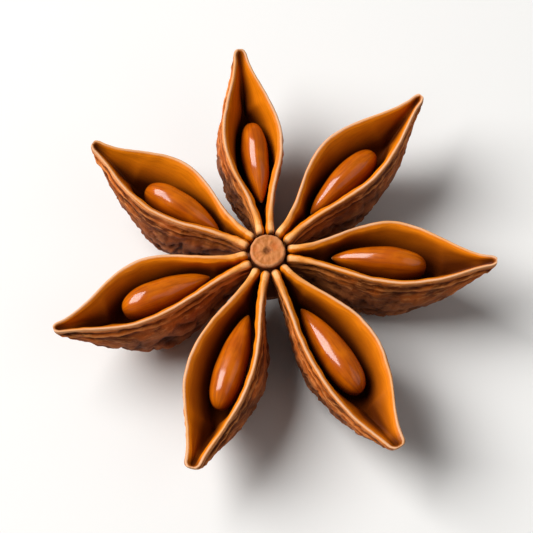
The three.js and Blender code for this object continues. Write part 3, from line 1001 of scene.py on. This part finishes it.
def column_axis():
    """Where the column's axis stands, in metres: the carpels' plan is centred on the frame's."""
    reach = []
    for carpel in CARPELS:
        t = np.linspace(0, 1, 400)[:, None]
        left, right = (half_width(carpel, carpel[side], t) for side in ("left", "right"))
        outer = np.concatenate([left, -right], axis=1)
        points = in_carpel(carpel, t, outer, 0 * outer).reshape(-1, 3)
        reach.append(turned(points, carpel["bearing"]))
    plan = np.concatenate(reach)[:, :2]
    middle = (plan.min(axis=0) + plan.max(axis=0)) / 2 * MM
    low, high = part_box("husk")
    return Vector(((low[0] + high[0]) / 2 - middle[0], (low[1] + high[1]) / 2 - middle[1], 0))


def make_husk(husk):
    materials = [skin_material(husk), lining_material(husk), column_material(husk)]
    carpels = [
        carpel_solid(i, husk).object(f"carpel_{i + 1}", materials) for i in range(len(CARPELS))
    ]
    piece = column_solid(husk).object("husk_shell", materials)
    unite(piece, carpels)
    piece.data.transform(Matrix.Translation(column_axis()))
    piece.data.shade_smooth()
    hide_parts("husk")
    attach(piece, "root")


def seed_solid(number):
    """A seed, long in X: drop-shaped, flattened from side to side, with a low crest on top."""
    seed = CARPELS[number]["seed"]
    ring = np.linspace(0, np.pi, SEED_RINGS + 1)[1:-1][:, None]
    angle = np.linspace(0, 2 * np.pi, SEED_SIDES, endpoint=False)[None, :]
    along = -np.cos(ring)
    girth = drop(along, SEED_POINTED, SEED_BLUNT)
    lumps = 1 + 0.05 * noise_at(along * 2.2, np.cos(angle), np.sin(angle) + number * 3.3)
    crest = 1 + 0.02 * hump(angle, np.pi / 2, 0.16)
    wide, tall = (np.sign(w) * np.abs(w) ** SEED_SQUARE for w in (np.cos(angle), np.sin(angle)))
    across = girth * lumps * wide * seed["width"] / 2
    up = girth * lumps * crest * tall * SEED_HEIGHT / 2
    x = along * seed["length"] / 2 + 0 * across
    tips = [[-seed["length"] / 2, 0, 0], [seed["length"] / 2, 0, 0]]
    points = np.concatenate([np.stack([x, across, up], axis=-1).reshape(-1, 3), tips])

    # The values of the two tips follow those of the rings.
    grain = [x, angle * 1.3 + 0 * along, np.full(x.shape, number * 5)]
    values = {
        # How far down its side each point lies, for the painted shade.
        "flank": np.concatenate([(-np.sin(angle) + 0 * along).ravel(), [0, 0]]),
        "end": np.concatenate([(0 * angle - along).ravel(), [1, -1]]),
        "grain": np.concatenate([np.stack(grain, axis=-1).reshape(-1, 3), [[-4, 0, 0], [4, 0, 0]]]),
    }
    solid = Solid(points, values)
    faces, places = tube(SEED_RINGS - 1, SEED_SIDES)
    solid.add(faces, [0] * len(faces), places)
    return solid


def seed_place(carpel):
    """Where a seed lies, as a matrix in metres: it leans and turns with its carpel."""
    seed = carpel["seed"]
    t = (seed["out"] - LIP_RADIUS) / carpel_length(carpel)
    roll = math.radians(carpel["roll"])
    middle = Vector(
        (
            seed["out"],
            seed["left"] + SEED_DROP * math.sin(roll) + carpel["bend"] * t**2,
            rim_height(carpel, t) - SEED_DROP * math.cos(roll),
        )
    )
    return (
        Matrix.Translation(column_axis() + Vector((0, 0, LIP_HEIGHT * MM)))
        @ Matrix.Rotation(math.radians(carpel["bearing"]), 4, "Z")
        @ Matrix.Translation(middle * MM)
        @ Matrix.Rotation(math.radians(seed["turn"]), 4, "Z")
        @ Matrix.Rotation(roll, 4, "X")
    )


def make_seed(number, material):
    piece = seed_solid(number).object(f"seed_coat_{number + 1}", [material])
    piece.data.transform(seed_place(CARPELS[number]))
    piece.data.shade_smooth()
    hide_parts(f"seed_{number + 1}")
    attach(piece, "root")


# ---- Stage ----


def area_light(name, place, size, power):
    data = bpy.data.lights.new(name, "AREA")
    data.shape = "SQUARE"
    data.size = size
    data.energy = power
    lamp = bpy.data.objects.new(name, data)
    lamp.location = place
    lamp.rotation_euler = (LIGHT_TARGET - Vector(place)).to_track_quat("-Z", "Y").to_euler()
    bpy.context.scene.collection.objects.link(lamp)


def make_floor(stage):
    bpy.ops.mesh.primitive_plane_add(size=2, location=(0, 0, 0))
    floor = bpy.context.object
    floor.name = "floor"
    floor.data.materials.append(floor_material(stage))


def make_surroundings(stage):
    world = bpy.data.worlds.new("Studio")
    world.use_nodes = True
    background = world.node_tree.nodes["Background"]
    background.inputs["Color"].default_value = (*stage.world_colour, 1)
    background.inputs["Strength"].default_value = stage.world_strength
    bpy.context.scene.world = world


def make_camera(stage):
    """A camera that looks down at the column and sees frame_width across at the lips' height."""
    hub = column_axis() + Vector((0, 0, LIP_HEIGHT * MM))
    tilt = stage.camera_elevation
    back = Vector((0, -math.cos(tilt), math.sin(tilt)))
    up = Vector((0, math.sin(tilt), math.cos(tilt)))
    aim = hub + Vector((1, 0, 0)) * stage.aim_right + up * stage.aim_up
    data = bpy.data.cameras.new("camera")
    data.sensor_width = 36
    data.lens = data.sensor_width * stage.camera_distance / stage.frame_width
    data.clip_start, data.clip_end = 0.01, 10
    camera = bpy.data.objects.new("camera", data)
    camera.location = aim + back * stage.camera_distance
    camera.rotation_euler = (-back).to_track_quat("-Z", "Y").to_euler()
    bpy.context.scene.collection.objects.link(camera)
    bpy.context.scene.camera = camera


def make_stage(stage):
    make_floor(stage)
    make_surroundings(stage)
    area_light("key", KEY_PLACE, stage.key_size, stage.key_power)
    area_light("fill", FILL_PLACE, stage.fill_size, stage.fill_power)
    make_camera(stage)
    bpy.context.scene.view_settings.view_transform = "Standard"
    bpy.context.scene.view_settings.look = "None"


# ---- Settings, operators and panel ----


def colour_property(name, description, default):
    return bpy.props.FloatVectorProperty(
        name=name, description=description, subtype="COLOR", size=3, min=0, max=1, default=default
    )


def length_property(name, description, default):
    return bpy.props.FloatProperty(
        name=name, description=description, unit="LENGTH", default=default, min=0, precision=5
    )


class HuskSettings(bpy.types.PropertyGroup):
    """Sizes and colours of the husk"""

    wrinkle_height: length_property("Wrinkle height", "How deep the skin's wrinkles are", 0.00026)
    rim_waver: length_property("Rim waver", "How far the rims stray from a smooth line", 0.00007)
    tip_length: length_property("Lip tips", "Over what length the lips' ends round off", 0.0005)
    finger_round: length_property("Lip rounding", "How high the lips are rounded over", 0.0003)
    bead_round: length_property("Bead rounding", "How high the rims' bead is rounded over", 0.0002)
    bevel_depth: length_property("Bevel depth", "How far the rim slopes down to the hollow", 0.0003)
    column_relief: length_property("Column relief", "How rough the column's button is", 0.00008)
    skin_colour: colour_property("Skin", "The outer skin", (0.56, 0.12, 0.012))
    skin_dark: colour_property("Dark skin", "Darker patches of the skin", (0.12, 0.022, 0.002))
    # Worn pale skin, also painted on ridges and along the rim as light.
    skin_worn_and_lit: colour_property("Worn skin", "Where the skin is worn pale", (0.85, 0.3, 0.08))
    # Painted shade low on the flanks, also used on the scar under the column.
    skin_low_shade: colour_property("Low skin", "The skin low on the flanks", (0.25, 0.085, 0.034))
    skin_lips: colour_property("Skin by the lips", "The skin near the column", (0.68, 0.21, 0.035))
    # Painted shade in the skin's creases.
    crease_shade_colour: colour_property("Creases", "In the skin's creases", (0.04, 0.008, 0.002))
    rim_colour: colour_property("Rim", "The pale cut edge", (0.76, 0.42, 0.23))
    rim_golden: colour_property("Golden rim", "Yellower stretches of it", (0.78, 0.31, 0.05))
    finger_colour: colour_property("Lips", "The lips round the column", (0.86, 0.34, 0.07))
    # The lips' pale ends, made brighter as a painted highlight on their knobs.
    tip_pale_and_highlight: colour_property("Lip tips", "The lips' pale ends", (0.95, 0.45, 0.16))
    lining_colour: colour_property("Lining", "The lining by the rim", (0.76, 0.2, 0.003))
    # Painted shade in the lining: the streaked colour also darkens it below the rim, and the deep one
    # lower down.
    lining_streaks_and_shade: colour_property("Streaked lining", "Streaks in the lining", (0.42, 0.095, 0.002))
    lining_deep_shade: colour_property("Deep lining", "The lining low in the hollow", (0.09, 0.016, 0.001))
    column_colour: colour_property("Column", "The column's button", (0.5, 0.155, 0.03))
    column_light: colour_property("Light column", "Its lighter parts", (0.6, 0.21, 0.055))
    pit_colour: colour_property("Dimple", "The dimple in the button", (0.2, 0.06, 0.012))
    # Painted shade in the groove, also at the lips' ends.
    groove_shade_colour: colour_property("Groove", "The groove round the button", (0.16, 0.04, 0.008))


class SeedSettings(bpy.types.PropertyGroup):
    """Colours of the seeds"""

    coat_colour: colour_property("Coat", "The seed coat", (0.46, 0.085, 0.001))
    coat_light: colour_property("Light coat", "Its lighter clouds", (0.6, 0.135, 0.001))
    # Dark streaks, also painted on the seeds' lower flanks as shade.
    coat_dark_and_shade: colour_property("Dark coat", "Its streaks and flanks", (0.15, 0.021, 0.0004))
    scar_colour: colour_property("Scar", "Where the seed was attached", (0.4, 0.18, 0.06))


class StageSettings(bpy.types.PropertyGroup):
    """The floor, the light and the camera"""

    floor_colour: colour_property("Floor", "The floor", (0.82, 0.81, 0.79))
    world_colour: colour_property("Surroundings", "The light from all around", (1, 1, 1))
    world_strength: bpy.props.FloatProperty(
        name="Surroundings", description="How bright the surroundings are", default=0.09, min=0
    )
    key_power: bpy.props.FloatProperty(
        name="Key light", description="Power of the key light", unit="POWER", default=4.5, min=0
    )
    key_size: length_property("Key size", "How wide the key light is", 0.38)
    fill_power: bpy.props.FloatProperty(
        name="Fill light", description="Power of the fill light", unit="POWER", default=0.35, min=0
    )
    fill_size: length_property("Fill size", "How wide the fill light is", 0.5)
    camera_elevation: bpy.props.FloatProperty(
        name="Elevation",
        description="The camera's height over the horizon",
        subtype="ANGLE",
        default=math.radians(68),
    )
    camera_distance: length_property("Distance", "From the camera to the fruit", 0.6)
    frame_width: length_property("Frame width", "How wide the view is at the fruit", 0.045)
    aim_right: bpy.props.FloatProperty(
        name="Aim right", description="Aim, right of the column", unit="LENGTH", default=-0.00009
    )
    aim_up: bpy.props.FloatProperty(
        name="Aim up", description="Aim, up from the column", unit="LENGTH", default=-0.00133
    )


class STARANISE_OT_husk(bpy.types.Operator):
    """Add the husk, as one piece"""

    bl_idname = "star_anise.husk"
    bl_label = "Add husk"

    def execute(self, context):
        make_husk(context.scene.star_anise_husk)
        return {"FINISHED"}


class STARANISE_OT_seeds(bpy.types.Operator):
    """Add a seed to each carpel"""

    bl_idname = "star_anise.seeds"
    bl_label = "Add seeds"

    def execute(self, context):
        material = seed_material(context.scene.star_anise_seeds)
        for number in range(len(CARPELS)):
            make_seed(number, material)
        return {"FINISHED"}


class STARANISE_OT_stage(bpy.types.Operator):
    """Add the floor, the light and the camera"""

    bl_idname = "star_anise.stage"
    bl_label = "Add stage"

    def execute(self, context):
        make_stage(context.scene.star_anise_stage)
        return {"FINISHED"}


class STARANISE_PT_panel(bpy.types.Panel):
    """Lists the pieces and their settings"""

    bl_idname = "STARANISE_PT_panel"
    bl_label = "Star Anise"
    bl_space_type = "VIEW_3D"
    bl_region_type = "UI"
    bl_category = "Star Anise"

    def draw(self, context):
        scene = context.scene
        for operator, settings in (
            (STARANISE_OT_husk, scene.star_anise_husk),
            (STARANISE_OT_seeds, scene.star_anise_seeds),
            (STARANISE_OT_stage, scene.star_anise_stage),
        ):
            box = self.layout.box()
            for name in settings.__annotations__:
                box.prop(settings, name)
            box.operator(operator.bl_idname)


CLASSES = (
    HuskSettings,
    SeedSettings,
    StageSettings,
    STARANISE_OT_husk,
    STARANISE_OT_seeds,
    STARANISE_OT_stage,
    STARANISE_PT_panel,
)


def register():
    for item in CLASSES:
        bpy.utils.register_class(item)
    bpy.types.Scene.star_anise_husk = bpy.props.PointerProperty(type=HuskSettings)
    bpy.types.Scene.star_anise_seeds = bpy.props.PointerProperty(type=SeedSettings)
    bpy.types.Scene.star_anise_stage = bpy.props.PointerProperty(type=StageSettings)


def unregister():
    del bpy.types.Scene.star_anise_husk
    del bpy.types.Scene.star_anise_seeds
    del bpy.types.Scene.star_anise_stage
    for item in reversed(CLASSES):
        bpy.utils.unregister_class(item)


def main():
    register()
    bpy.ops.star_anise.husk()
    bpy.ops.star_anise.seeds()
    bpy.ops.star_anise.stage()


if __name__ == "__main__":
    main()
